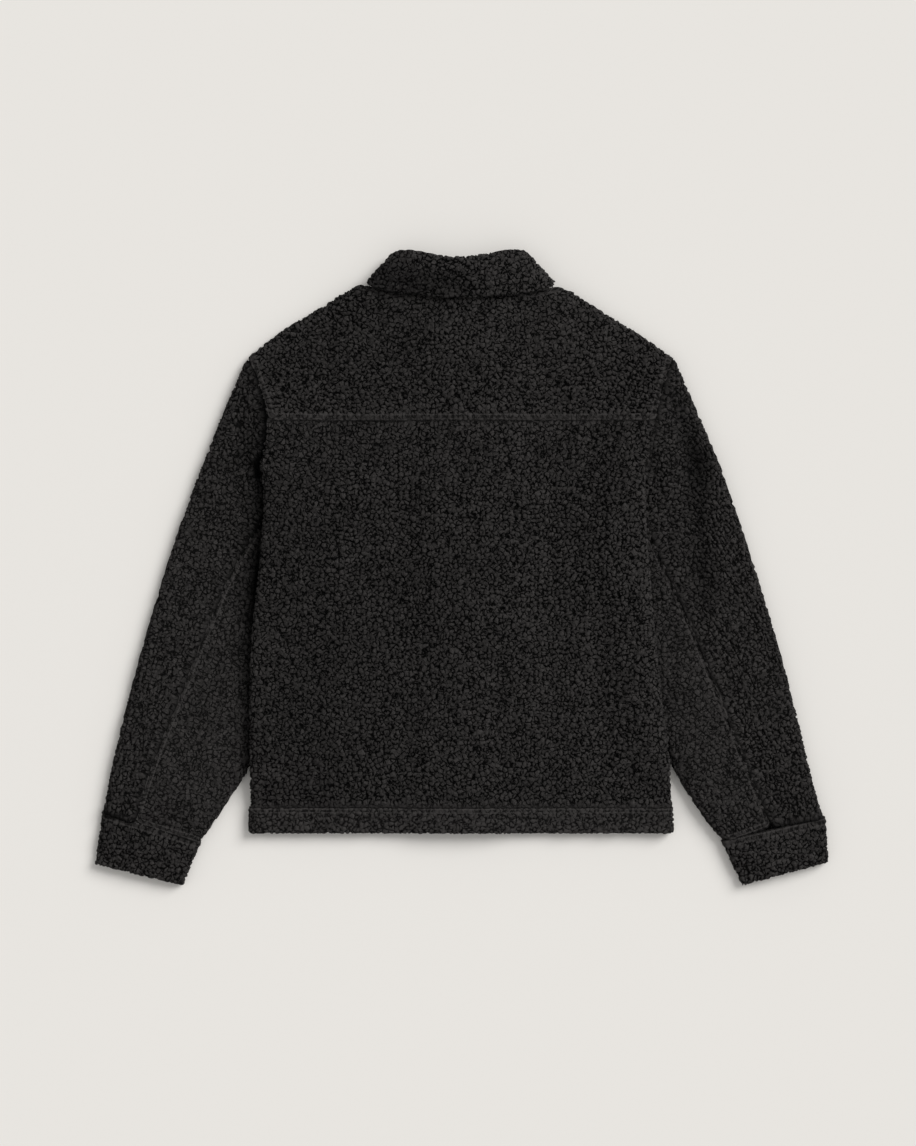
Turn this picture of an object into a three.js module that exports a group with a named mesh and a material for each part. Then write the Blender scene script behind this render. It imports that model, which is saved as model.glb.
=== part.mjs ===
// A high pile fleece jacket, laid flat and face down with its sleeves drawn down beside it.
// Millimetres, +X to the wearer's right, +Y towards the collar, +Z up from the surface it lies on.
// Every piece is a wall of cloth: a grid of points on its middle surface, thickened both ways.
import * as THREE from 'three';

const CLOTH = 6;                    // thickness of the cloth with its pile
const GAP = 0.3;                    // between pieces at a seam and between layers
const LAYER = CLOTH + GAP;          // from one layer's middle to the next
const FLOOR_LAYER = CLOTH / 2;      // middle of the layer that lies on the surface
const LAYER_FOLD = LAYER / 2;       // radius of a folded edge, at the middle of the cloth
const FOLD_INSET = LAYER_FOLD + CLOTH / 2;
const FOLD_STEPS = 4;               // facets round a folded edge
const UNDER_TURN = 2;               // how far the back runs on under its folded edge
const ARMHOLE_GAP = 3.5;            // between the body and a sleeve, where the seam bends
const LOFT = 0.9;                   // slack of the back over the layers under it
const COLLAR_SLACK = 2.2;           // how much the turned collar stands off the yoke
const SEAM_GAP = 0.5;               // each side of a sleeve's seams

const NECK_HALF_WIDTH = 92;
const YOKE_SEAM_Y = 185;
const ARMPIT_Y = 10;
const UNDERLAP_Y = 112;             // below this the back's edge is folded over the sleeve
const HEM_SEAM_Y = -294;
const HEM_EDGE_Y = -325;
const HEM_HALF_WIDTH = 262.5;
const SLEEVE_LOFT = 0.3;            // slack of a sleeve's upper layer over the lower one
const SLEEVE_CROWN = 3;             // how much more it stands off between its edges
const BEND_SHARE = 0.75;            // how far the cloth's face reaches into a bend, of its radius
const CUFF_CROWN = 0.5;
const FRONT_SEAM_SHARE = 0.3;       // place of a sleeve's front seam, from its inner edge
const LAP_HALF_WIDTH = 15;          // the fronts overlap this far each side of the middle
const FRONT_COLUMNS = 16;
const BACK_COLUMNS = 30;
const YOKE_ROWS = 5;
const HEM_ROWS = 2;
const SLEEVE_COLUMNS = 7;
const SLEEVE_ROWS = [0, 0.2, 0.45, 0.7, 1, 1.5, 2, 2.5, 3, 3.75, 4.5, 5.25, 6, 7, 8];
const BACK_ROWS = [
  184.7, 161, 136, 124, 112, 80, 45, 10, -25, -65, -110, -160, -210, -235, -255, -275, -293.7,
];
const FRONT_ROWS = [190, 120, 65, 35, 12, 3, -4, -30, -70, -110, -160, -210, -235, -255, -275, -293.7];

// The back's side edges as it lies, down from the shoulders, with how high its middle surface is there.
const BACK_EDGES = [
  { y: 262, left: -259, right: 258, edgeZ: 9.3 },
  { y: 244, left: -254, right: 255.5, edgeZ: 11.5 },
  { y: 225, left: -247, right: 248, edgeZ: 14.5 },
  { y: 206, left: -240, right: 241.5, edgeZ: 17 },
  { y: 190, left: -235, right: 240, edgeZ: 19 },
  { y: 161, left: -238, right: 235, edgeZ: 21 },
  { y: 136, left: -243, right: 229, edgeZ: 22.2 },
  { y: 112, left: -244.5, right: 227, edgeZ: 22.6 },
  { y: 86, left: -241.5, right: 226.6, edgeZ: 22.6 },
  { y: 50, left: -245.5, right: 228, edgeZ: 22.6 },
  { y: 10, left: -247, right: 231.5, edgeZ: 22.6 },
  { y: -40, left: -254, right: 235, edgeZ: 22.6 },
  { y: -90, left: -259.5, right: 239.5, edgeZ: 22.6 },
  { y: -182, left: -260.5, right: 250, edgeZ: 22.6 },
  { y: -240, left: -260.3, right: 257.5, edgeZ: 21.5 },
  { y: -294, left: -260, right: 259.8, edgeZ: 14.5 },
];

// The shoulders and the neck, from the left armhole across to the right one.
const SHOULDER_LINE = [
  { x: -259, y: 264 },
  { x: -228, y: 290 },
  { x: -204, y: 305 },
  { x: -163, y: 330 },
  { x: -138, y: 346 },
  { x: -121, y: 354 },
  { x: -106, y: 349 },
  { x: -92, y: 338 },
  { x: -50, y: 345 },
  { x: 0, y: 345 },
  { x: 50, y: 345 },
  { x: 92, y: 338 },
  { x: 106, y: 347.5 },
  { x: 121, y: 351 },
  { x: 138, y: 342.5 },
  { x: 156, y: 330.5 },
  { x: 195, y: 306 },
  { x: 228, y: 286 },
  { x: 258, y: 263 },
];

// The sleeves: outer edge, back seam and inner edge at rows from the armhole to the cuff seam.
const LEFT_SLEEVE = [
  { outer: [-264.5, 259.5], seam: [-233, 84], inner: [-209, 10] },
  { outer: [-288, 207], seam: [-246, 60], inner: [-219, -40] },
  { outer: [-318, 133], seam: [-267, 28], inner: [-232, -102] },
  { outer: [-350, 46], seam: [-293, -22], inner: [-245, -157] },
  { outer: [-377, -40], seam: [-320.5, -90], inner: [-248, -222] },
  { outer: [-402, -127], seam: [-350, -164], inner: [-262, -250] },
  { outer: [-421.5, -201], seam: [-377, -228], inner: [-287, -283] },
  { outer: [-436, -268], seam: [-396, -286], inner: [-311, -323] },
  { outer: [-440.5, -298], seam: [-403, -312], inner: [-323.5, -336] },
];
const RIGHT_SLEEVE = [
  { outer: [263, 259.5], seam: [217, 78], inner: [200, 10] },
  { outer: [286, 207], seam: [230, 56], inner: [208, -40] },
  { outer: [318, 133], seam: [246, 14], inner: [220, -102] },
  { outer: [348, 46], seam: [273.5, -43], inner: [233, -157] },
  { outer: [376, -40], seam: [299.5, -106], inner: [246, -211] },
  { outer: [401, -127], seam: [323, -166], inner: [262, -250] },
  { outer: [419, -201], seam: [345, -223], inner: [284, -284] },
  { outer: [436, -272], seam: [371, -286], inner: [310, -322] },
  { outer: [446, -305], seam: [383.5, -316], inner: [325, -335] },
];

// The neckline of the fronts, from the middle to the shoulder.
const FRONT_NECKLINE = [
  { x: 0, y: 266 },
  { x: 22, y: 270 },
  { x: 40, y: 281 },
  { x: 62, y: 302 },
  { x: 80, y: 320 },
  { x: 112, y: 318 },
  { x: 126, y: 325 },
];

// Each cuff, from its seam to its opening.
const CUFFS = [
  { node: 'cuff_left', seam: [[-443, -301], [-322, -338]], end: [[-452, -363], [-343, -389.5]] },
  { node: 'cuff_right', seam: [[450, -309.5], [322.5, -338]], end: [[453.5, -360.5], [346.5, -389.5]] },
];

// Soft folds of the sleeves, each a ridge or a trough from one place to another.
const SLEEVE_FOLDS = [
  { from: [262, 205], to: [288, 128], half: 10, rise: -3.5 },
  { from: [288, 128], to: [297, -50], half: 13, rise: -4.5 },
  { from: [252, 165], to: [256, 100], half: 9, rise: 2.5 },
  { from: [-280, 60], to: [-262, -190], half: 12, rise: -1.5 },
  { from: [-352, -194], to: [-318, -205], half: 7, rise: -1.8 },
  { from: [-376, -258], to: [-326, -264], half: 8, rise: -1.8 },
  { from: [338, -150], to: [300, -205], half: 10, rise: -1.4 },
  { from: [398, -235], to: [345, -262], half: 8, rise: -1.4 },
];

// The collar as a ring of sections, from the left front point round the back to the right one.
// fold is its top edge, fall the edge of the turned part, neck its seam; turn is 0 above, 180 below.
const COLLAR = [
  { turn: 180, fold: [-4, 352], fall: [-22, 262], neck: [-4, 271] },
  { turn: 180, fold: [-35, 356], fall: [-74, 250], neck: [-40, 285] },
  { turn: 180, fold: [-66, 376], fall: [-98, 328], neck: [-78, 325] },
  { turn: 150, fold: [-76, 381], fall: [-104, 350], neck: [-85, 342] },
  { turn: 120, fold: [-80.5, 383], fall: [-109, 354], neck: [-88, 346] },
  { turn: 90, fold: [-82, 384], fall: [-112, 355], neck: [-89, 348.5] },
  { turn: 60, fold: [-80, 385], fall: [-114.5, 353], neck: [-88, 350.5] },
  { turn: 30, fold: [-74, 387], fall: [-113, 347], neck: [-86, 352] },
  { turn: 0, fold: [-60, 387.5], fall: [-97, 341.5], neck: [-78, 352] },
  { turn: 0, fold: [-30, 379], fall: [-48, 336], neck: [-42, 348] },
  { turn: 0, fold: [0, 377.5], fall: [-2, 333.5], neck: [0, 347] },
  { turn: 0, fold: [30, 381], fall: [44, 336], neck: [40, 348] },
  { turn: 0, fold: [60, 388.5], fall: [95, 341.5], neck: [76, 352] },
  { turn: 30, fold: [70, 387.5], fall: [111, 346], neck: [85, 352] },
  { turn: 60, fold: [76, 386.5], fall: [114, 350.5], neck: [88, 350.5] },
  { turn: 90, fold: [77.5, 385.5], fall: [113, 352.5], neck: [89, 348.5] },
  { turn: 120, fold: [76.5, 385], fall: [110.5, 352], neck: [88, 346] },
  { turn: 150, fold: [73, 384], fall: [106, 348.5], neck: [85, 342] },
  { turn: 180, fold: [65, 378], fall: [99, 327], neck: [78, 325] },
  { turn: 180, fold: [35, 356], fall: [74, 250], neck: [40, 285] },
  { turn: 180, fold: [4, 352], fall: [22, 262], neck: [4, 271] },
];

// The back's soft vertical folds.
const BACK_FOLDS = [
  { from: [148, 170], to: [150, -200], half: 20, rise: 2.6 },
  { from: [78, 60], to: [84, -190], half: 22, rise: 2.0 },
  { from: [-150, 20], to: [-146, -190], half: 26, rise: 1.8 },
];

const smooth = (value) => {
  const t = Math.min(1, Math.max(0, value));
  return t * t * (3 - 2 * t);
};
const mix = (a, b, t) => a + (b - a) * t;

// Reads a column of a table between its rows; the key column rises or falls steadily.
function lookUp(table, key, at, column) {
  const rising = table[0][key] < table[table.length - 1][key];
  const rows = rising ? table : [...table].reverse();
  if (at <= rows[0][key]) return rows[0][column];
  for (let i = 1; i < rows.length; i += 1) {
    if (at <= rows[i][key]) {
      const t = (at - rows[i - 1][key]) / (rows[i][key] - rows[i - 1][key]);
      return mix(rows[i - 1][column], rows[i][column], t);
    }
  }
  return rows[rows.length - 1][column];
}

// Where the collar's front points lie under the fronts, which ride over them.
const overCollar = (x, y) => smooth((y - 185) / 60) * smooth((195 - Math.abs(x)) / 65);

// Where one front laps over the other.
const overLap = (x, y) => smooth((85 - Math.abs(x)) / 62) * smooth((325 - y) / 48);

const sideOf = (x) => (x < 0 ? 'left' : 'right');
const sleeveOf = (x) => (x < 0 ? LEFT_SLEEVE : RIGHT_SLEEVE);
const edgeAt = (x, y) => Math.abs(lookUp(BACK_EDGES, 'y', y, sideOf(x)));

// Height of a soft ridge or trough over a point.
function foldRise(folds, x, y) {
  let rise = 0;
  for (const fold of folds) {
    const [dx, dy] = [fold.to[0] - fold.from[0], fold.to[1] - fold.from[1]];
    const length = Math.hypot(dx, dy);
    const along = ((x - fold.from[0]) * dx + (y - fold.from[1]) * dy) / length;
    const across = ((x - fold.from[0]) * dy - (y - fold.from[1]) * dx) / length / fold.half;
    const beyond = Math.max(0, -along, along - length) / (2.2 * fold.half);
    rise += fold.rise * Math.exp(-across * across - beyond * beyond);
  }
  return rise;
}

// The inner edge of a sleeve where it lies under the body, as a distance from the middle line.
function sleeveInnerEdge(x, y) {
  const rows = sleeveOf(x).map((row) => ({ y: row.inner[1], x: Math.abs(row.inner[0]) }));
  if (y <= rows[0].y) return lookUp(rows, 'y', y, 'x');
  return mix(rows[0].x, edgeAt(x, y) - 16, smooth((y - rows[0].y) / 130));
}

// How far the body is lifted by the sleeve under it, from 0 to 1.
const lifted = (x, y) => smooth((Math.abs(x) - sleeveInnerEdge(x, y) + 62) / 56);

// How much more height a layer needs where the one under it slopes.
function slopeOf(height, x, y) {
  const step = 4;
  return Math.hypot(1, (height(x + step, y) - height(x - step, y)) / (2 * step),
    (height(x, y + step) - height(x, y - step)) / (2 * step));
}

// Height of the fronts' middle surface, without and with the other front under it.
function frontHeight(x, y) {
  const edgeZ = lookUp(BACK_EDGES, 'y', y, 'edgeZ');
  const middle = FLOOR_LAYER + LAYER * overCollar(x, y);
  const underArm = smooth((ARMPIT_Y + 35 - y) / 35);
  return mix(middle, Math.max(edgeZ - LAYER, middle), lifted(x, y) * underArm);
}
const lapHeight = (x, y) => (
  frontHeight(x, y) + overLap(x, y) * LAYER * slopeOf(frontHeight, x, y));

// What the back lies on: the fronts, and the sleeve above the armpit.
function underBack(x, y) {
  const edgeZ = lookUp(BACK_EDGES, 'y', y, 'edgeZ');
  const middle = FLOOR_LAYER + LAYER * (overCollar(x, y) + overLap(x, y));
  const shoulder = 1 - smooth((y - 236) / 26);
  return mix(middle, Math.max(edgeZ - LAYER, middle), lifted(x, y) * shoulder);
}
const backHeight = (x, y) => (
  underBack(x, y) + LAYER * slopeOf(underBack, x, y) + LOFT + foldRise(BACK_FOLDS, x, y));

// Height of a sleeve's upper layer: up to the back's edge at the armhole, down beside it, then full.
function sleeveHeight(x, y) {
  const outside = Math.abs(x) - edgeAt(x, y);
  const flat = FLOOR_LAYER + LAYER;
  const atArmhole = (1 - smooth((outside - 9) / 26)) * smooth((y - UNDERLAP_Y - 8) / 22);
  const edgeZ = Math.max(flat, lookUp(BACK_EDGES, 'y', y, 'edgeZ') + LOFT);
  const fullness = smooth((outside - 6) / 30);
  const crown = Math.max(0, SLEEVE_CROWN + foldRise(SLEEVE_FOLDS, x, y));
  return mix(flat, edgeZ, atArmhole) + SLEEVE_LOFT + fullness * crown;
}

// How far each face of the cloth stands from its middle, which is less inside a tight bend.
function faceReach(before, here, after, normal) {
  const back = before.clone().sub(here);
  const ahead = after.clone().sub(here);
  const turn = back.clone().cross(ahead).length();
  const reach = [CLOTH / 2, CLOTH / 2];
  if (turn > 1e-6) {
    const radius = (back.length() * ahead.length() * before.distanceTo(after)) / (2 * turn);
    const inside = back.add(ahead).dot(normal) > 0 ? 0 : 1;
    reach[inside] = Math.min(CLOTH / 2, BEND_SHARE * radius);
  }
  return reach;
}

// Closes a grid of middle points into a wall of cloth; a ring closes on itself along its rows.
function clothWall(middle, ring) {
  const rows = middle.length;
  const columns = middle[0].length;
  const next = (j) => (ring ? (j + 1) % columns : Math.min(j + 1, columns - 1));
  const last = (j) => (ring ? (j + columns - 1) % columns : Math.max(j - 1, 0));
  const faces = [[], []];
  const along = new THREE.Vector3();
  const across = new THREE.Vector3();
  for (let i = 0; i < rows; i += 1) {
    for (let j = 0; j < columns; j += 1) {
      const here = middle[i][j];
      const [above, below] = [middle[Math.max(i - 1, 0)][j], middle[Math.min(i + 1, rows - 1)][j]];
      const [before, after] = [middle[i][last(j)], middle[i][next(j)]];
      along.subVectors(below, above);
      across.subVectors(after, before);
      const normal = along.clone().cross(across).normalize();
      const down = faceReach(above, here, below, normal);
      const over = faceReach(before, here, after, normal);
      faces[0].push(here.clone().addScaledVector(normal, Math.min(down[0], over[0])));
      faces[1].push(here.clone().addScaledVector(normal, -Math.min(down[1], over[1])));
    }
  }
  const positions = [...faces[0], ...faces[1]].flatMap((p) => p.toArray());
  const inner = rows * columns;
  const at = (i, j) => i * columns + j;
  const index = [];
  const quad = (a, b, c, d) => index.push(a, b, c, a, c, d);
  const spans = ring ? columns : columns - 1;
  const bottom = rows - 1;
  for (let j = 0; j < spans; j += 1) {
    const k = next(j);
    for (let i = 0; i < bottom; i += 1) {
      quad(at(i, j), at(i + 1, j), at(i + 1, k), at(i, k));
      quad(inner + at(i, j), inner + at(i, k), inner + at(i + 1, k), inner + at(i + 1, j));
    }
    quad(at(0, j), at(0, k), inner + at(0, k), inner + at(0, j));
    quad(at(bottom, k), at(bottom, j), inner + at(bottom, j), inner + at(bottom, k));
  }
  for (let i = 0; i < bottom && !ring; i += 1) {
    const end = columns - 1;
    quad(at(i + 1, 0), at(i, 0), inner + at(i, 0), inner + at(i + 1, 0));
    quad(at(i, end), at(i + 1, end), inner + at(i + 1, end), inner + at(i, end));
  }
  const geometry = new THREE.BufferGeometry();
  geometry.setAttribute('position', new THREE.Float32BufferAttribute(positions, 3));
  geometry.setIndex(index);
  geometry.computeVertexNormals();
  return geometry;
}

const group = new THREE.Group();
function addPiece(name, middle, ring = false) {
  const material = new THREE.MeshStandardMaterial({ color: 0x1d1c1c, roughness: 0.95, metalness: 0 });
  const mesh = new THREE.Mesh(clothWall(middle, ring), material);
  mesh.name = name;
  group.add(mesh);
}

const point = (x, y, z) => new THREE.Vector3(x, y, z);
const steps = (count) => Array.from({ length: count + 1 }, (unused, k) => k / count);

// The turn of cloth at a folded edge, from the layer above to the layer below, without its two ends.
// edge is the outermost place in the plan, out is the way that its row runs there, and lean is how
// much longer that way is than straight across the edge.
function foldPoints(edge, out, upperZ, lowerZ, lean = 1) {
  const radius = (upperZ - lowerZ) / 2;
  const back = LAYER_FOLD + CLOTH / 2;
  return steps(FOLD_STEPS).slice(1, -1).map((t) => {
    const reach = lean * (LAYER_FOLD * Math.sin(Math.PI * t) - back);
    const z = (upperZ + lowerZ) / 2 + radius * Math.cos(Math.PI * t);
    return point(edge[0] + out[0] * reach, edge[1] + out[1] * reach, z);
  });
}

// The back's side at a row: its edge turns under, more and more, from the armhole down.
function backSide(side, y) {
  const x = side * edgeAt(side, y);
  const wrapped = smooth((UNDERLAP_Y + 22 - y) / 22);
  const topZ = backHeight(x - side * wrapped * FOLD_INSET, y);
  const turned = steps(FOLD_STEPS).slice(1).map((t) => {
    const angle = Math.PI * wrapped * t;
    const reach = LAYER_FOLD * Math.sin(angle) - wrapped * FOLD_INSET + (1 - wrapped) * t;
    return point(x + side * reach, y, topZ - LAYER_FOLD * (1 - Math.cos(angle)));
  });
  const hem = turned[FOLD_STEPS - 1].clone();
  hem.x += side * mix(0.5, -UNDER_TURN, wrapped);
  return [...turned, hem];
}

function addBack() {
  const middle = BACK_ROWS.map((y) => {
    const inset = smooth((UNDERLAP_Y + 22 - y) / 22) * FOLD_INSET;
    const top = steps(BACK_COLUMNS).map((t) => {
      const x = mix(inset - edgeAt(-1, y), edgeAt(1, y) - inset, t);
      return point(x, y, backHeight(x, y));
    });
    return [...backSide(-1, y).reverse(), ...top, ...backSide(1, y)];
  });
  addPiece('back', middle);
}

// The yoke runs from its seam up to the shoulders, and turns over them to the fronts.
const shoulderTurn = (x) => smooth((Math.abs(x) - NECK_HALF_WIDTH) / 16);
const shoulderY = (x) => lookUp(SHOULDER_LINE, 'x', x, 'y');
const shoulderLean = (x) => Math.hypot(1, (shoulderY(x + 9) - shoulderY(x - 9)) / 18);
function addYoke() {
  const shoulders = SHOULDER_LINE[SHOULDER_LINE.length - 1].x;
  const top = steps(YOKE_ROWS).map((t) => steps(BACK_COLUMNS).map((s) => {
    const across = mix(-1, 1, s);
    const atTop = across * shoulders;
    const topY = shoulderY(atTop) - mix(GAP, FOLD_INSET * shoulderLean(atTop), shoulderTurn(atTop));
    const y = mix(topY, YOKE_SEAM_Y + GAP, t);
    const x = across * edgeAt(across, y);
    return point(x, y, backHeight(x, y));
  }));
  const turned = steps(FOLD_STEPS).slice(1).reverse().map((t) => top[0].map((p) => {
    const turn = shoulderTurn(p.x);
    const radius = (p.z - FLOOR_LAYER - LAYER * overCollar(p.x, p.y)) / 2;
    const reach = turn * shoulderLean(p.x) * LAYER_FOLD * Math.sin(Math.PI * t) + (1 - turn) * t;
    return point(p.x, p.y + reach, p.z - turn * radius * (1 - Math.cos(Math.PI * t)));
  }));
  addPiece('back_yoke', [...turned, ...top]);
}

// A front: side is -1 for the left one, whose edge is the outer one, and 1 for the right one.
function addFront(name, side) {
  const sleeve = sleeveOf(side);
  const [headX, headY] = sleeve[0].outer.map((v, k) => (k === 0 ? Math.abs(v) : v));
  const [pitX, pitY] = sleeve[0].inner.map((v, k) => (k === 0 ? Math.abs(v) : v));
  const outerX = (y) => {
    if (y > pitY) return mix(headX, pitX, (headY - y) / (headY - pitY)) - ARMHOLE_GAP;
    const under = smooth((pitY - y) / 14);
    return mix(pitX - ARMHOLE_GAP, edgeAt(side, y) - FOLD_INSET - UNDER_TURN - SEAM_GAP, under);
  };
  const topY = (x) => {
    const near = Math.abs(x);
    const shoulder = shoulderY(side * near) - FOLD_INSET - ARMHOLE_GAP;
    if (near >= FRONT_NECKLINE[FRONT_NECKLINE.length - 1].x) return shoulder;
    return Math.min(shoulder, lookUp(FRONT_NECKLINE, 'x', near, 'y'));
  };
  const rowAt = (yAt) => steps(FRONT_COLUMNS).map((t) => {
    const inner = -LAP_HALF_WIDTH;
    const widest = yAt(headX) > headY - 4 ? headX - 10 : outerX(yAt(headX));
    const x = mix(inner, widest, t);
    const y = yAt(x);
    return point(side * x, y, (side > 0 ? lapHeight : frontHeight)(side * x, y));
  });
  const top = steps(4).slice(0, -1).map((t) => rowAt((x) => mix(topY(x), YOKE_SEAM_Y, t)));
  const lower = FRONT_ROWS.map((y) => rowAt(() => y));
  const rows = [...top, ...lower];
  addPiece(name, side < 0 ? rows : rows.map((row) => row.reverse()));
}

// The hem band, from the left front's edge round the back to the right front's.
function addHemBand() {
  const out = HEM_HALF_WIDTH;
  const across = (from, to, count, height) => steps(count).map((t) => {
    const x = mix(from, to, t);
    return { x, z: height(x) };
  });
  const seamY = HEM_SEAM_Y - GAP;
  const inner = out - FOLD_INSET;
  const ring = [
    ...across(LAP_HALF_WIDTH, -inner, FRONT_COLUMNS, (x) => frontHeight(x, seamY)),
    ...foldPoints([-out, 0], [-1, 0], backHeight(-inner, seamY), FLOOR_LAYER).reverse(),
    ...across(-inner, inner, BACK_COLUMNS, (x) => backHeight(x, seamY)),
    ...foldPoints([out, 0], [1, 0], backHeight(inner, seamY), FLOOR_LAYER),
    ...across(inner, -LAP_HALF_WIDTH, FRONT_COLUMNS, (x) => lapHeight(x, seamY)),
  ];
  const rows = steps(HEM_ROWS).map((t) => ring.map((p) => point(p.x, mix(seamY, HEM_EDGE_Y, t), p.z)));
  addPiece('hem_band', rows);
}

// A sleeve's two pieces meet at the back seam above and at the front seam below.
function addSleeve(word, sleeve) {
  const side = Math.sign(sleeve[0].outer[0]);
  const plan = (a, b, t) => [mix(a[0], b[0], t), mix(a[1], b[1], t)];
  const rowsAt = SLEEVE_ROWS.map((r) => {
    const i = Math.min(Math.floor(r), sleeve.length - 2);
    const part = (key) => plan(sleeve[i][key], sleeve[i + 1][key], r - i);
    return { r, i, outer: part('outer'), seam: part('seam'), inner: part('inner') };
  });
  const unit = (a, b) => {
    const length = Math.hypot(b[0] - a[0], b[1] - a[1]);
    return [(b[0] - a[0]) / length, (b[1] - a[1]) / length];
  };
  const inset = (edge, out, by) => [edge[0] - out[0] * by, edge[1] - out[1] * by];
  const leanAt = (key, i, out) => {
    const [dx, dy] = unit(sleeve[i][key], sleeve[i + 1][key]);
    return 1 / Math.abs(out[0] * dy - out[1] * dx);
  };
  // The first rows follow the armhole, then straighten down the sleeve.
  const above = (p, r) => {
    const hugging = (1 - smooth(r)) * smooth((p[1] - UNDERLAP_Y + 14) / 26);
    const seamX = side * (edgeAt(side, p[1]) + ARMHOLE_GAP + r * 30);
    const x = mix(p[0], seamX, hugging);
    return point(x, p[1], sleeveHeight(x, p[1]));
  };
  const upper = [];
  const under = [];
  for (const { r, i, outer, seam, inner } of rowsAt) {
    const out = unit(inner, outer);
    const into = [-out[0], -out[1]];
    const outerLean = leanAt('outer', i, out);
    const innerLean = leanAt('inner', i, out);
    const edge = inset(outer, out, FOLD_INSET * outerLean);
    const innerEdge = inset(inner, into, FOLD_INSET * innerLean);
    const front = plan(inner, outer, FRONT_SEAM_SHARE);
    const seamGap = unit(seam, edge).map((v) => v * 2 * SEAM_GAP);
    const seamUpper = [seam[0] + seamGap[0], seam[1] + seamGap[1]];
    const frontUpper = [front[0] + out[0] * SEAM_GAP, front[1] + out[1] * SEAM_GAP];
    const top = steps(SLEEVE_COLUMNS).map((t) => above(plan(seamUpper, edge, t), r));
    const low = steps(4).map((t) => point(...plan(edge, frontUpper, t), FLOOR_LAYER));
    const outerTurn = foldPoints(outer, out, top[SLEEVE_COLUMNS].z, FLOOR_LAYER, outerLean);
    upper.push([...top, ...outerTurn, ...low]);
    const back = steps(5).map((t) => above(plan(seam, innerEdge, t), r));
    const below = steps(3).map((t) => point(...plan(innerEdge, front, t), FLOOR_LAYER));
    const innerTurn = foldPoints(inner, into, back[5].z, FLOOR_LAYER, innerLean);
    under.push([...back, ...innerTurn, ...below]);
  }
  const turn = (rows, flip) => (flip ? rows.map((row) => row.reverse()) : rows);
  addPiece(`sleeve_upper_${word}`, turn(upper, side < 0));
  addPiece(`sleeve_under_${word}`, turn(under, side > 0));
}

// A cuff is a flat ring of cloth, open at its end.
function addCuff({ node, seam, end }) {
  const rows = steps(3).map((t) => {
    const outer = [mix(seam[0][0], end[0][0], t), mix(seam[0][1], end[0][1], t)];
    const inner = [mix(seam[1][0], end[1][0], t), mix(seam[1][1], end[1][1], t)];
    const length = Math.hypot(outer[0] - inner[0], outer[1] - inner[1]);
    const out = [(outer[0] - inner[0]) / length, (outer[1] - inner[1]) / length];
    const upperZ = FLOOR_LAYER + LAYER + CUFF_CROWN;
    const across = (s) => [mix(FOLD_INSET, length - FOLD_INSET, s), s];
    const layer = (z, crown) => steps(6).map((s) => {
      const [reach] = across(s);
      const x = inner[0] + out[0] * reach;
      return point(x, inner[1] + out[1] * reach, z + crown * Math.sin(Math.PI * s));
    });
    const edges = [
      foldPoints(outer, out, upperZ, FLOOR_LAYER),
      foldPoints(inner, out.map((v) => -v), upperZ, FLOOR_LAYER),
    ];
    return [...layer(upperZ, 2), ...edges[0], ...layer(FLOOR_LAYER, 0).reverse(), ...edges[1].reverse()];
  });
  addPiece(node, seam[0][0] < 0 ? rows.map((row) => row.reverse()) : rows, true);
}

// The collar: a strip folded over along its top edge, in a ring round the neck.
function addCollar() {
  const layer = LAYER + COLLAR_SLACK / 3;
  const middleZ = FLOOR_LAYER + 1.5 * layer;
  const middle = COLLAR.map(({ turn, fold, fall, neck }) => {
    const up = Math.cos((turn * Math.PI) / 180);
    const outward = Math.sin((turn * Math.PI) / 180) * Math.sign(fold[0] || 1);
    const crest = point(...fold, middleZ + layer * up);
    const along = point(fold[0] - fall[0], fold[1] - fall[1], 0).normalize();
    const normal = point(outward * Math.abs(along.y), Math.abs(outward * along.x), up).normalize();
    const onFold = (angle) => crest.clone()
      .addScaledVector(normal, (layer / 2) * Math.cos(angle))
      .addScaledVector(along, (layer / 2) * Math.sin(angle));
    const fallEdge = point(...fall, middleZ + 1.5 * layer * up);
    const neckEdge = point(...neck, middleZ + 0.5 * layer * up);
    return [
      ...steps(4).slice(0, -1).map((t) => fallEdge.clone().lerp(onFold(0), t)),
      ...steps(FOLD_STEPS).map((t) => onFold(Math.PI * t)),
      ...steps(3).slice(1).map((t) => onFold(Math.PI).lerp(neckEdge, t)),
    ];
  });
  addPiece('collar', middle);
}

addBack();
addYoke();
addFront('front_left', -1);
addFront('front_right', 1);
addHemBand();
addSleeve('left', LEFT_SLEEVE);
addSleeve('right', RIGHT_SLEEVE);
CUFFS.forEach(addCuff);
addCollar();

// The origin is under the middle of the whole jacket, on the surface it lies on.
const bounds = new THREE.Box3().setFromObject(group);
group.position.set(-(bounds.min.x + bounds.max.x) / 2, -(bounds.min.y + bounds.max.y) / 2, -bounds.min.z);

export default group;
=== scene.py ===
# A black high pile fleece jacket, lying flat and face down on a pale surface.
import bmesh
import bpy
import numpy as np
from mathutils import Matrix, Vector
from mathutils.kdtree import KDTree


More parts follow.
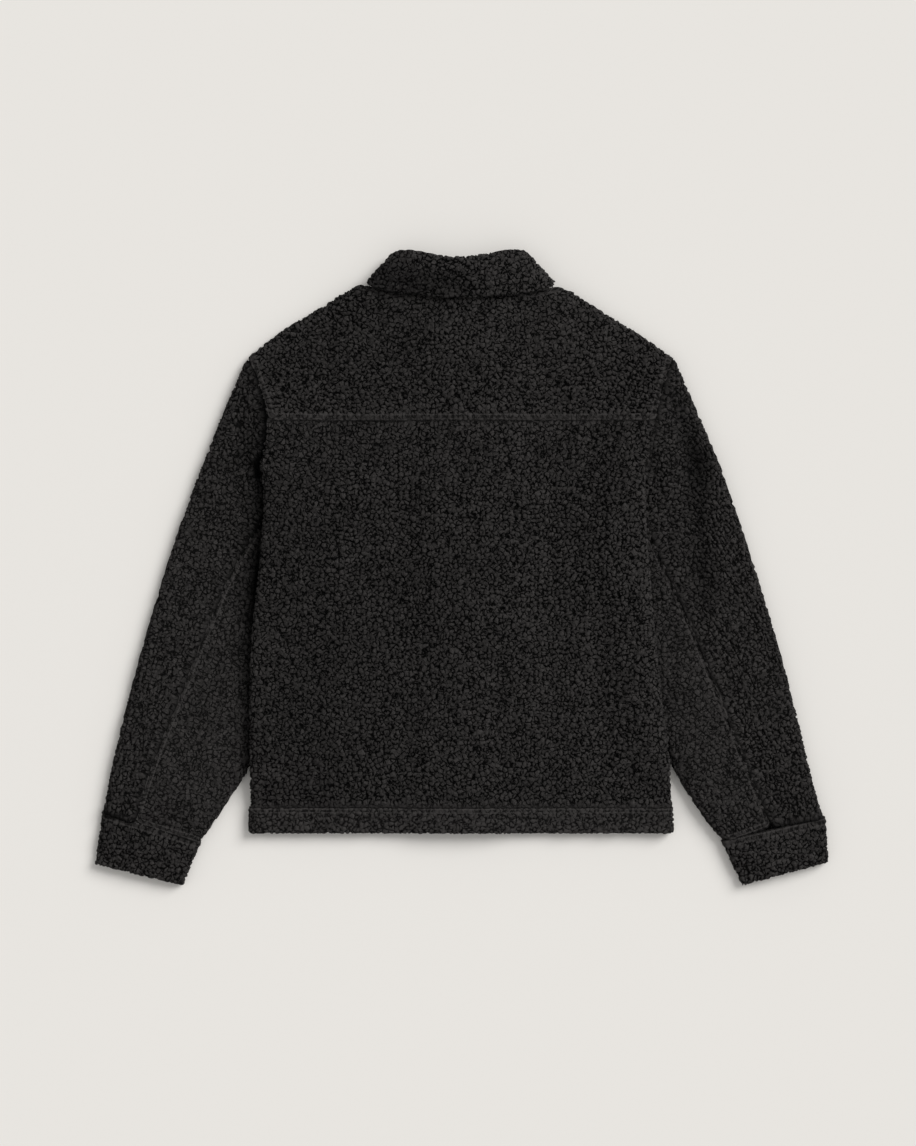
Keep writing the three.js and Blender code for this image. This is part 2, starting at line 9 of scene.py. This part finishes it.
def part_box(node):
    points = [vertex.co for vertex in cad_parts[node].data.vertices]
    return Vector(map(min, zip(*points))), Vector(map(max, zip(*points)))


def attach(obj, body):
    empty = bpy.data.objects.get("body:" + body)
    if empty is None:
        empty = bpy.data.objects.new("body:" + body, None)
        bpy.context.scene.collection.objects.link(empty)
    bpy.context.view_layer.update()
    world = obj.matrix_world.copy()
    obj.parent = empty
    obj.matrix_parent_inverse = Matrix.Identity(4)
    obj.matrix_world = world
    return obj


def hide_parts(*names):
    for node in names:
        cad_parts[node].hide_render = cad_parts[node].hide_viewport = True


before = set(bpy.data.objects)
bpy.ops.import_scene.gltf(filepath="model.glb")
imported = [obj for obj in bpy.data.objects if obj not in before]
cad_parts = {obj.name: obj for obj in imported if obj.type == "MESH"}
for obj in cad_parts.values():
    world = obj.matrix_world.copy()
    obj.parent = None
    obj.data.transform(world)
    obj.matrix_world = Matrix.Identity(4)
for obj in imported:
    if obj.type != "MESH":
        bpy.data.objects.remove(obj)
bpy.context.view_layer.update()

# ---- Camera -------------------------------------------------------------------------------------
# It looks straight down on the jacket's back, from far enough away to see it almost without
# perspective.
CAMERA_HEIGHT = 3.4
PICTURE_LENGTH = 1.418  # metres of the surface along the picture's long side
scene = bpy.context.scene
camera_data = bpy.data.cameras.new("overhead")
camera_data.lens = camera_data.sensor_width * CAMERA_HEIGHT / PICTURE_LENGTH
camera = bpy.data.objects.new("overhead", camera_data)
camera.location = (-0.0046, -0.0068, CAMERA_HEIGHT)
scene.collection.objects.link(camera)
scene.camera = camera


# ---- Surface and light --------------------------------------------------------------------------
# A plain matt warm white board, under a broad soft lamp that stands to the upper right, and the
# even light of a white room.
def linear(hex_colour):
    """The linear colour of an sRGB hex value."""
    parts = [int(hex_colour[i:i + 2], 16) / 255 for i in (1, 3, 5)]
    return [c / 12.92 if c <= 0.04045 else ((c + 0.055) / 1.055) ** 2.4 for c in parts] + [1.0]


def node(tree, kind, settings=None, **inputs):
    """Adds a node. Its inputs are sockets or values, by name with _ for a space, or as i0, i1."""
    made = tree.nodes.new(kind)
    for key, value in (settings or {}).items():
        setattr(made, key, value)
    for key, value in inputs.items():
        name = key.replace("_", " ")
        socket = made.inputs[int(name[1:]) if name[1:].isdigit() else name]
        if isinstance(value, bpy.types.NodeSocket):
            tree.links.new(value, socket)
        else:
            socket.default_value = value
    return made


def new_material(name):
    """A material with no nodes yet, and its node tree."""
    material = bpy.data.materials.new(name)
    material.use_nodes = True
    material.node_tree.nodes.clear()
    return material, material.node_tree


MM = 0.001
BOARD_HALF = 6
BOARD_DROP = 0.4 * MM

# Matt paint scatters nearly all of its light evenly, with hardly a sheen.
board, tree = new_material("matt painted board")
paint = node(tree, "ShaderNodeBsdfPrincipled", Base_Color=linear("#ece9e4"), Roughness=0.9,
             Specular_IOR_Level=0.1)
node(tree, "ShaderNodeOutputMaterial", Surface=paint.outputs[0])

bm = bmesh.new()
bmesh.ops.create_grid(bm, x_segments=1, y_segments=1, size=BOARD_HALF,
                      matrix=Matrix.Translation((0, 0, -BOARD_DROP)))
floor_mesh = bpy.data.meshes.new("floor")
bm.to_mesh(floor_mesh)
bm.free()
floor = bpy.data.objects.new("floor", floor_mesh)
floor.data.materials.append(board)
scene.collection.objects.link(floor)

world = bpy.data.worlds.new("white room")
world.use_nodes = True
room = world.node_tree.nodes["Background"]
room.inputs["Color"].default_value = (1, 1, 1, 1)
room.inputs["Strength"].default_value = 0.5
scene.world = world
scene.view_settings.view_transform = "Standard"

lamp_data = bpy.data.lights.new("broad lamp", "SUN")
lamp_data.energy = 2.35
lamp_data.angle = 0.6
lamp = bpy.data.objects.new("broad lamp", lamp_data)
lamp.rotation_euler = Vector((0.62, 0.5, 0.62)).to_track_quat("Z", "Y").to_euler()
scene.collection.objects.link(lamp)

# ---- Back, yoke and fronts ----------------------------------------------------------------------
# The back is cut below a straight yoke seam, and the yoke goes over the shoulders to the fronts. All
# four are high pile fleece: a knitted backing, and a pile brushed and tumbled into curled tufts. The
# yoke is topstitched twice along its edge.
TUFT = 5.6 * MM  # across one tuft
PILE = 3.5 * MM  # depth of the tufts' relief
STITCH_ROWS = (2 * MM, 6 * MM)  # from the seam
STITCH_HALF = 1.1 * MM  # half of a row's width, more than the thread's own so that it shows
SHOWN_ABOVE = 7 * MM  # a seam that lies lower than this is under the jacket
LAYERED_ABOVE = 8 * MM  # the cloth here lies on another layer, and can be slack
SHEET_OUTER, SHEET_INNER, SHEET_EDGE = 0, 1, 2


def tuft_pattern(tree, place, size, crease):
    """Tufts parted by wandering creases, 0 in a crease and 1 on a tuft, and the place moved so."""
    scaled = node(tree, "ShaderNodeVectorMath", {"operation": "SCALE"}, i0=place, Scale=1 / size)
    drift = node(tree, "ShaderNodeTexNoise", {"noise_dimensions": "3D"}, Vector=scaled.outputs[0],
                 Scale=1.1, Detail=2.0)
    centred = node(tree, "ShaderNodeVectorMath", {"operation": "SUBTRACT"},
                   i0=drift.outputs["Color"], i1=(0.5, 0.5, 0.5))
    swirl = node(tree, "ShaderNodeVectorMath", {"operation": "SCALE"}, i0=centred.outputs[0],
                 Scale=1.1)
    moved = node(tree, "ShaderNodeVectorMath", {"operation": "ADD"}, i0=scaled.outputs[0],
                 i1=swirl.outputs[0]).outputs[0]
    cells = node(tree, "ShaderNodeTexVoronoi", {"voronoi_dimensions": "3D",
                 "feature": "DISTANCE_TO_EDGE"}, Vector=moved, Scale=1.0)
    rise = node(tree, "ShaderNodeMapRange", {"interpolation_type": "SMOOTHSTEP"},
                Value=cells.outputs["Distance"], From_Min=0.0, From_Max=crease)
    # Here and there two tufts run into each other, and the crease between them fades out.
    joins = node(tree, "ShaderNodeTexNoise", {"noise_dimensions": "3D"}, Vector=moved, Scale=1.6,
                 Detail=0.0)
    joined = node(tree, "ShaderNodeMapRange", {"interpolation_type": "SMOOTHSTEP"},
                  Value=joins.outputs[0], From_Min=0.48, From_Max=0.62, To_Max=0.78)
    merged = node(tree, "ShaderNodeMath", {"operation": "MAXIMUM"}, i0=rise.outputs["Result"],
                  i1=joined.outputs["Result"])
    return merged.outputs[0], moved


# Polyester pile, brushed and tumbled: matt. Its colour holds painted light and shade: the tufts'
# tops are painted light, as if they catch the lamp, and the creases between them painted black, as shade.
pile, tree = new_material("brushed high pile polyester")
rest, pressed, from_seam, painted_shading = (
    node(tree, "ShaderNodeAttribute", {"attribute_name": name}).outputs[kind]
    for name, kind in (("rest", "Vector"), ("pressed", "Fac"), ("from_seam", "Fac"), ("painted_shading", "Fac")))
tops, swirled = tuft_pattern(tree, rest, TUFT, 0.2)
curls, _ = tuft_pattern(tree, rest, TUFT * 0.5, 0.35)
tuft_shades = node(tree, "ShaderNodeTexVoronoi", {"voronoi_dimensions": "3D"}, Vector=swirled,
                   Scale=1.0)
tuft_tone = node(tree, "ShaderNodeSeparateColor", Color=tuft_shades.outputs["Color"]).outputs[0]
fibre = node(tree, "ShaderNodeTexNoise", Vector=rest, Scale=1 / (1.1 * MM), Detail=3.0,
             Roughness=0.6).outputs["Fac"]
patches = node(tree, "ShaderNodeTexNoise", Vector=rest, Scale=1 / (60 * MM),
               Detail=3.0).outputs["Fac"]
# Painted light and shade: light on the tufts' tops and dark in the curls' small creases. The tufts' own
# tones, the fibres and broad patches vary it at random.
light = node(tree, "ShaderNodeMath", {"operation": "POWER"}, i0=tops, i1=1.5).outputs[0]
for cause, change, base in ((curls, 0.4, 0.6), (tuft_tone, 0.4, 0.8), (fibre, 0.5, 0.75),
                            (patches, 0.4, 0.8)):
    share = node(tree, "ShaderNodeMath", {"operation": "MULTIPLY_ADD"}, i0=cause, i1=change, i2=base)
    light = node(tree, "ShaderNodeMath", {"operation": "MULTIPLY"}, i0=light,
                 i1=share.outputs[0]).outputs[0]
# Pressed pile is even, with less of the painted light and shade. Tonal thread lies on it in two
# rows, each painted as a fine light line, a painted highlight.
light = node(tree, "ShaderNodeMix", {"data_type": "FLOAT"}, i0=pressed, i2=light, i3=0.6).outputs[0]
rows = []
for distance in STITCH_ROWS:
    off = node(tree, "ShaderNodeMath", {"operation": "SUBTRACT"}, i0=from_seam, i1=distance)
    near = node(tree, "ShaderNodeMath", {"operation": "ABSOLUTE"}, i0=off.outputs[0])
    row = node(tree, "ShaderNodeMapRange", {"interpolation_type": "SMOOTHSTEP"},
               Value=near.outputs[0], From_Max=STITCH_HALF, To_Min=1.0, To_Max=0.0)
    rows.append(row.outputs[0])
painted_thread_highlight = node(tree, "ShaderNodeMath", {"operation": "MAXIMUM"}, i0=rows[0], i1=rows[1])
light = node(tree, "ShaderNodeMath", {"operation": "MULTIPLY_ADD"}, i0=painted_thread_highlight.outputs[0], i1=0.75,
             i2=light)
# Painted light and shade: soft areas painted lighter or darker, and a painted shade along the seams.
light = node(tree, "ShaderNodeMath", {"operation": "MULTIPLY"}, i0=light.outputs[0], i1=painted_shading)
# From black in the creases, a painted shade, to the tufts' colour on their painted light tops.
colour = node(tree, "ShaderNodeMix", {"data_type": "RGBA"}, i0=light.outputs[0],
              i6=linear("#000000"), i7=linear("#3b3938"))
relief = node(tree, "ShaderNodeMath", {"operation": "MULTIPLY_ADD"}, i0=curls, i1=0.2, i2=tops)
relief = node(tree, "ShaderNodeMath", {"operation": "MULTIPLY_ADD"}, i0=fibre, i1=0.15,
              i2=relief.outputs[0])
relief = node(tree, "ShaderNodeMix", {"data_type": "FLOAT"}, i0=pressed, i2=relief.outputs[0],
              i3=0.7)
bump = node(tree, "ShaderNodeBump", Strength=1.0, Distance=1.4 * MM, Height=relief.outputs[0])
fleece = node(tree, "ShaderNodeBsdfPrincipled", Base_Color=colour.outputs[2], Roughness=0.9,
              Normal=bump.outputs[0], Specular_IOR_Level=0.05, Sheen_Weight=0.008,
              Sheen_Roughness=0.5)
node(tree, "ShaderNodeOutputMaterial", Surface=fleece.outputs[0])

# The knitted side: small even loops, drawn 1.6 mm apart so that they show. Each loop is painted
# lighter in its middle and darker towards its edge, as painted shade between the loops.
backing, tree = new_material("knitted polyester backing")
place = node(tree, "ShaderNodeTexCoord").outputs["Object"]
loops = node(tree, "ShaderNodeTexVoronoi", Vector=place, Scale=1 / (1.6 * MM)).outputs["Distance"]
bump = node(tree, "ShaderNodeBump", Strength=0.5, Distance=0.3 * MM, Height=loops)
colour = node(tree, "ShaderNodeMix", {"data_type": "RGBA"}, i0=loops, i6=linear("#1d1c1c"),
              i7=linear("#100f0f"))
knit = node(tree, "ShaderNodeBsdfPrincipled", Base_Color=colour.outputs[2], Roughness=0.9,
            Normal=bump.outputs[0])
node(tree, "ShaderNodeOutputMaterial", Surface=knit.outputs[0])

# It keeps on the cloth, as it is before the pile stands up, each point's place, the tufts' height
# there, and the slow waves in which the cloth drapes.
cloth_places = bpy.data.node_groups.new("cloth places", "GeometryNodeTree")
for in_out in ("INPUT", "OUTPUT"):
    cloth_places.interface.new_socket("Geometry", in_out=in_out, socket_type="NodeSocketGeometry")
flow = cloth_places.nodes.new("NodeGroupInput")
place = node(cloth_places, "GeometryNodeInputPosition").outputs[0]
height, _ = tuft_pattern(cloth_places, place, TUFT, 0.3)
waves = node(cloth_places, "ShaderNodeTexNoise", Vector=place, Scale=1 / (55 * MM), Detail=1.0)
for name, kind, value in (("rest", "FLOAT_VECTOR", place), ("tuft", "FLOAT", height),
                          ("drape", "FLOAT", waves.outputs["Fac"])):
    flow = node(cloth_places, "GeometryNodeStoreNamedAttribute",
                {"data_type": kind, "domain": "POINT"}, Geometry=flow.outputs[0], Name=name,
                Value=value)
cloth_places.links.new(flow.outputs[0], cloth_places.nodes.new("NodeGroupOutput").inputs[0])


def evaluated(obj):
    """A new mesh of an object, with its modifiers applied."""
    bpy.context.view_layer.update()
    return bpy.data.meshes.new_from_object(obj.evaluated_get(bpy.context.evaluated_depsgraph_get()))


def mark_sheet(bm, facing_down, sharp_turn):
    """Marks the faces of the outer sheet, the inner sheet and the cut edges by material index."""
    crease = bm.edges.layers.float.new("crease_edge")
    sharp = {e for e in bm.edges if e.is_manifold and e.calc_face_angle() > sharp_turn}
    groups, seen = [], set()
    for face in bm.faces:
        face.material_index = SHEET_INNER
        if face in seen:
            continue
        group, queue = [], [face]
        seen.add(face)
        while queue:
            one = queue.pop()
            group.append(one)
            for edge in one.edges:
                for other in edge.link_faces:
                    if edge not in sharp and other not in seen:
                        seen.add(other)
                        queue.append(other)
        groups.append(group)
    groups.sort(key=lambda group: -sum(f.calc_area() for f in group))
    if facing_down:
        groups[:2] = sorted(groups[:2], key=lambda group: sum(f.calc_area() * f.normal.z for f in group))
    outer = set(groups[0])
    for face in outer:
        face.material_index = SHEET_OUTER
    for face in bm.faces:
        if face not in outer and any(other in outer for vert in face.verts for other in vert.link_faces):
            face.material_index = SHEET_EDGE
    for edge in bm.edges:
        if len({face.material_index for face in edge.link_faces}) > 1:
            edge[crease] = 0.8


def even_out(bm, spacing):
    """Halves whole rings of quads until no ring is much coarser than the spacing."""
    while True:
        seen, cut = set(), []
        for start in bm.edges:
            if start in seen:
                continue
            ring, queue = [], [start]
            seen.add(start)
            while queue:
                edge = queue.pop()
                ring.append(edge)
                for loop in edge.link_loops:
                    if len(loop.face.verts) == 4:
                        other = loop.link_loop_next.link_loop_next.edge
                        if other not in seen:
                            seen.add(other)
                            queue.append(other)
            if sum(e.calc_length() for e in ring) > 1.42 * spacing * len(ring):
                cut += ring
        if not cut:
            return
        bmesh.ops.subdivide_edges(bm, edges=cut, cuts=1, use_grid_fill=True)


def cloth_form(name, spacing, facing_down, sharp_turn):
    """A piece's even, soft-edged cloth on its solid's form, with the places kept on it."""
    bm = bmesh.new()
    bm.from_mesh(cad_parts[name].data)
    bmesh.ops.remove_doubles(bm, verts=bm.verts, dist=1e-6)
    bmesh.ops.join_triangles(bm, faces=bm.faces, angle_face_threshold=0.7, angle_shape_threshold=3.1)
    mark_sheet(bm, facing_down, sharp_turn)
    mesh = bpy.data.meshes.new(name)
    bm.to_mesh(mesh)
    piece = bpy.data.objects.new("fleece_" + name, mesh)
    scene.collection.objects.link(piece)
    soften = piece.modifiers.new("soften", "SUBSURF")
    soften.levels = soften.render_levels = 2
    bm.clear()
    bm.from_mesh(evaluated(piece))
    even_out(bm, spacing)
    piece.modifiers.clear()
    bm.to_mesh(mesh)
    bm.free()
    piece.modifiers.new("places", "NODES").node_group = cloth_places
    mesh = evaluated(piece)
    piece.modifiers.clear()
    piece.data = mesh
    return piece


def read(items, key, width=1):
    """A property of all of a mesh's points, as an array with a row for each."""
    values = np.zeros(len(items) * width, np.float32)
    items.foreach_get(key, values)
    return values.reshape(-1, width).astype(float) if width > 1 else values


def keep(mesh, name, values):
    """Keeps a number for each point of a mesh, for the material to read."""
    mesh.attributes.new(name, "FLOAT", "POINT").data.foreach_set("value", values.astype(np.float32))


def nearest(place, indices, edge):
    """For some of the points, the distance to the nearest edge point, and which that is."""
    finder = KDTree(len(edge))
    for index in edge:
        finder.insert(place[index], index)
    finder.balance()
    found = [finder.find(place[index]) for index in indices]
    return np.array([f[2] for f in found]), np.array([f[1] for f in found])


def smooth(t):
    """A soft step from 0 to 1."""
    t = np.clip(t, 0, 1)
    return t * t * (3 - 2 * t)


def soft_dip(distance, half):
    """A soft dip's share at a distance from its middle."""
    return np.exp(-(distance / half) ** 2)


def soft_bands(place, bands):
    """The sum of soft bands, each (x1, y1, x2, y2, half width, amount) in millimetres."""
    x, y = place[:, 0] / MM, place[:, 1] / MM
    total = np.zeros(len(place))
    for x1, y1, x2, y2, half, amount in bands:
        length = np.hypot(x2 - x1, y2 - y1)
        along = ((x - x1) * (x2 - x1) + (y - y1) * (y2 - y1)) / length
        across = ((x - x1) * (y2 - y1) - (y - y1) * (x2 - x1)) / length
        beyond = np.maximum(0, np.maximum(-along, along - length))
        total += amount * np.exp(-(across / half) ** 2 - (beyond / (2.2 * half)) ** 2)
    return total


def fleece_piece(name, spacing, reach=1.5 * MM, free_edge=None, facing_down=False, topstitched=False,
                 folds=(), painted_bands=(), flatness=0.0, seam_shade=(0.5, 1.1 * MM), sharp_turn=1.05):
    """One piece of fleece on its solid's form.

    Its sewn edges reach out to meet the next piece, and free_edge says where it isn't sewn. Folds
    are bands of height in millimetres, and the painted bands are soft areas of painted light and
    shade, where the pile is painted lighter or darker. Flatness is how pressed the whole pile is. A
    seam's painted shade, a dark line along it, has a depth and a half width. Edges of the solid that
    turn by more than sharp_turn are the cloth's cut edges.
    """
    piece = cloth_form(name, spacing, facing_down, sharp_turn)
    mesh = piece.data
    count = len(mesh.vertices)
    place = read(mesh.vertices, "co", 3)
    normal = read(mesh.vertex_normals, "vector", 3)
    height = read(mesh.attributes["tuft"].data, "value")
    drape = read(mesh.attributes["drape"].data, "value")
    on_outer, on_edge = np.zeros(count, bool), np.zeros(count, bool)
    outward = np.zeros((count, 3))
    for face in mesh.polygons:
        corners = list(face.vertices)
        if face.material_index == SHEET_OUTER:
            on_outer[corners] = True
        if face.material_index == SHEET_EDGE:
            on_edge[corners] = True
            outward[corners] += face.normal
    outward /= np.maximum(np.linalg.norm(outward, axis=1), 1e-9)[:, None]

    # Along its sewn edges the piece meets its neighbour. Only a seam that shows presses the pile.
    sewn = np.nonzero(on_edge)[0]
    if free_edge is not None:
        sewn = sewn[~free_edge(place[sewn])]
    away = np.full(count, 1.0)
    if len(sewn):
        away, edge_point = nearest(place, range(count), sewn)
        drawn = reach * (1 - smooth(away / (9 * MM)))
        shown = [index for index in sewn if place[index, 2] > SHOWN_ABOVE or facing_down]
        near = np.nonzero(away < 30 * MM)[0]
        away[near] = nearest(place, near, shown)[0] if shown else 1.0
        place += outward[edge_point] * drawn[:, None]

    # The pile stands up from the cloth. It dips in the seam and under the rows of stitching.
    lift = PILE * (height - 0.6) * (0.45 + 0.55 * smooth(away / (5 * MM)))
    for distance in STITCH_ROWS if topstitched else ():
        lift -= 0.7 * MM * soft_dip(away - distance, 1.3 * MM)
    lift -= 0.9 * MM * soft_dip(away, 1.8 * MM)
    lift -= PILE * 0.4 * smooth((-normal[:, 2] - 0.3) / 0.4)
    slack = smooth(away / (25 * MM)) * smooth((place[:, 2] - LAYERED_ABOVE) / (4 * MM)) * on_outer
    place[:, 2] += slack * (3.2 * MM * (drape - 0.5) + MM * soft_bands(place, folds))
    place += normal * (lift * (on_outer | on_edge))[:, None]
    place[:, 2] = np.maximum(place[:, 2], 0.0)
    mesh.vertices.foreach_set("co", place.ravel())

    keep(mesh, "pressed", np.maximum(0.6 * (1 - smooth((away - 1 * MM) / (6 * MM))), flatness))
    # Painted light and shade, kept for the material: the painted bands, less a painted shade along each
    # seam.
    shade, shade_half = seam_shade
    keep(mesh, "painted_shading", np.clip(1 + soft_bands(place, painted_bands) - shade * soft_dip(away, shade_half), 0, 2))
    keep(mesh, "from_seam", away if topstitched else away + 1)
    mesh.materials.clear()
    for material in (pile, backing, pile):
        mesh.materials.append(material)
    mesh.polygons.foreach_set("use_smooth", [True] * len(mesh.polygons))
    mesh.update()
    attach(piece, "root")
    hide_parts(name)
    return piece


BACK_FOLDS = (
    (148, 206, 147, 60, 11, 1.6),
    (113, 126, 112, -240, 15, -1.8),
    (-126, 10, -122, -210, 15, -1.6),
    (-60, -60, -64, -230, 12, -0.9),
    (30, 90, 26, -40, 14, -0.8),
)
# Painted light and shade on the back: its left part and lower middle are painted darker, as shade, and a
# strip along its right edge, which faces the lamp, is painted lighter, as a painted highlight.
BACK_PAINTED_BANDS = (
    (-190, 60, -180, -330, 90, -0.22),
    (0, 0, 60, -330, 90, -0.1),
    (228, 120, 236, -340, 14, 0.18),
)
# Painted shade: the left part of the yoke is painted darker.
YOKE_PAINTED_BANDS = ((-150, 270, -60, 330, 60, -0.12),)
SPACING = 2.3 * MM  # between the points of cloth that shows
back = fleece_piece("back", 2.8 * MM, reach=2 * MM, folds=BACK_FOLDS, painted_bands=BACK_PAINTED_BANDS)
yoke = fleece_piece("back_yoke", SPACING, reach=4 * MM, topstitched=True, painted_bands=YOKE_PAINTED_BANDS)
front_left = fleece_piece("front_left", 4.2 * MM, facing_down=True)
front_right = fleece_piece("front_right", 4.2 * MM, facing_down=True)

# ---- Hem band -----------------------------------------------------------------------------------
# A band of the same fleece, sewn round the bottom and topstitched twice below its seam. Its pile is
# pressed a little, and is painted lighter towards the lamp, as painted light. Its lower edge is free.
HEM_PAINTED_BANDS = ((-230, -390, 230, -390, 60, 0.3), (60, -390, 230, -390, 60, 0.4))
hem_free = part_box("hem_band")[0].y + 6 * MM
hem_band = fleece_piece("hem_band", SPACING, free_edge=lambda p: p[:, 1] < hem_free,
                        topstitched=True, painted_bands=HEM_PAINTED_BANDS, flatness=0.2, sharp_turn=1.4)

# ---- Sleeves and cuffs --------------------------------------------------------------------------
# Each sleeve is cut in two pieces. The under one is topstitched along the back seam, and the upper
# one's pile bulges over it, with a wide painted shade along the seam on its side. A straight cuff is
# sewn to their end, and its own end is free.
SLEEVE_FOLDS = (
    (261, 202, 288, 130, 7, -2.4),
    (288, 130, 295, -50, 8, -2.2),
    (252, 170, 256, 96, 8, 1.6),
    (312, 150, 322, 20, 12, 1.4),
    (-282, 170, -300, 60, 9, -1.2),
    (-352, -196, -318, -203, 6, -1.6),
    (-376, -262, -326, -262, 7, -1.6),
    (-404, -150, -372, -172, 8, -1.1),
    (338, -150, 302, -205, 9, -1.3),
    (398, -235, 345, -262, 7, -1.2),
)
# Painted light and shade on the sleeves and cuffs: a painted shadow that the body's left edge casts on
# the left sleeve, painted shade in the right sleeve's fold beside the body, the right sleeve's outer part
# painted lighter, and the left cuff painted darker.
SLEEVE_PAINTED_BANDS = (
    (-226, 190, -240, -30, 32, -0.8),
    (-240, -30, -252, -225, 22, -0.55),
    (262, 205, 288, 130, 15, -0.3),
    (288, 130, 298, -30, 15, -0.35),
    (340, 60, 380, -90, 30, 0.1),
    (-430, -310, -350, -330, 40, -0.12),
)
CUFF_RISE = 0.25  # of the cuffs' ends, towards the body
CUFF_END = 32 * MM  # from a cuff's lowest point, along its outer side
for side, outer, slope in (("left", 0, CUFF_RISE), ("right", 1, -CUFF_RISE)):
    upper = fleece_piece("sleeve_upper_" + side, SPACING, reach=4 * MM, folds=SLEEVE_FOLDS,
                         painted_bands=SLEEVE_PAINTED_BANDS, flatness=0.12, seam_shade=(0.85, 3.2 * MM))
    under = fleece_piece("sleeve_under_" + side, SPACING, reach=2 * MM, topstitched=True,
                         folds=SLEEVE_FOLDS, painted_bands=SLEEVE_PAINTED_BANDS, flatness=0.18)
    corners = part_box("cuff_" + side)
    outer_x, free_y = corners[outer].x, corners[0].y + CUFF_END
    cuff = fleece_piece("cuff_" + side, SPACING, reach=5 * MM,
                        free_edge=lambda p: p[:, 1] + slope * (p[:, 0] - outer_x) < free_y,
                        topstitched=True, painted_bands=SLEEVE_PAINTED_BANDS, flatness=0.05)

# ---- Collar -------------------------------------------------------------------------------------
# A one-piece collar of the same fleece, sewn into the neck and folded over along its top edge. Its
# half away from the lamp is painted darker, as painted shade, and the half towards it lighter, as
# painted light.
COLLAR_PAINTED_BANDS = ((30, 365, 110, 360, 30, 0.35), (-110, 355, -10, 350, 26, -0.5))
collar = fleece_piece("collar", SPACING, free_edge=lambda p: np.ones(len(p), bool),
                      painted_bands=COLLAR_PAINTED_BANDS)
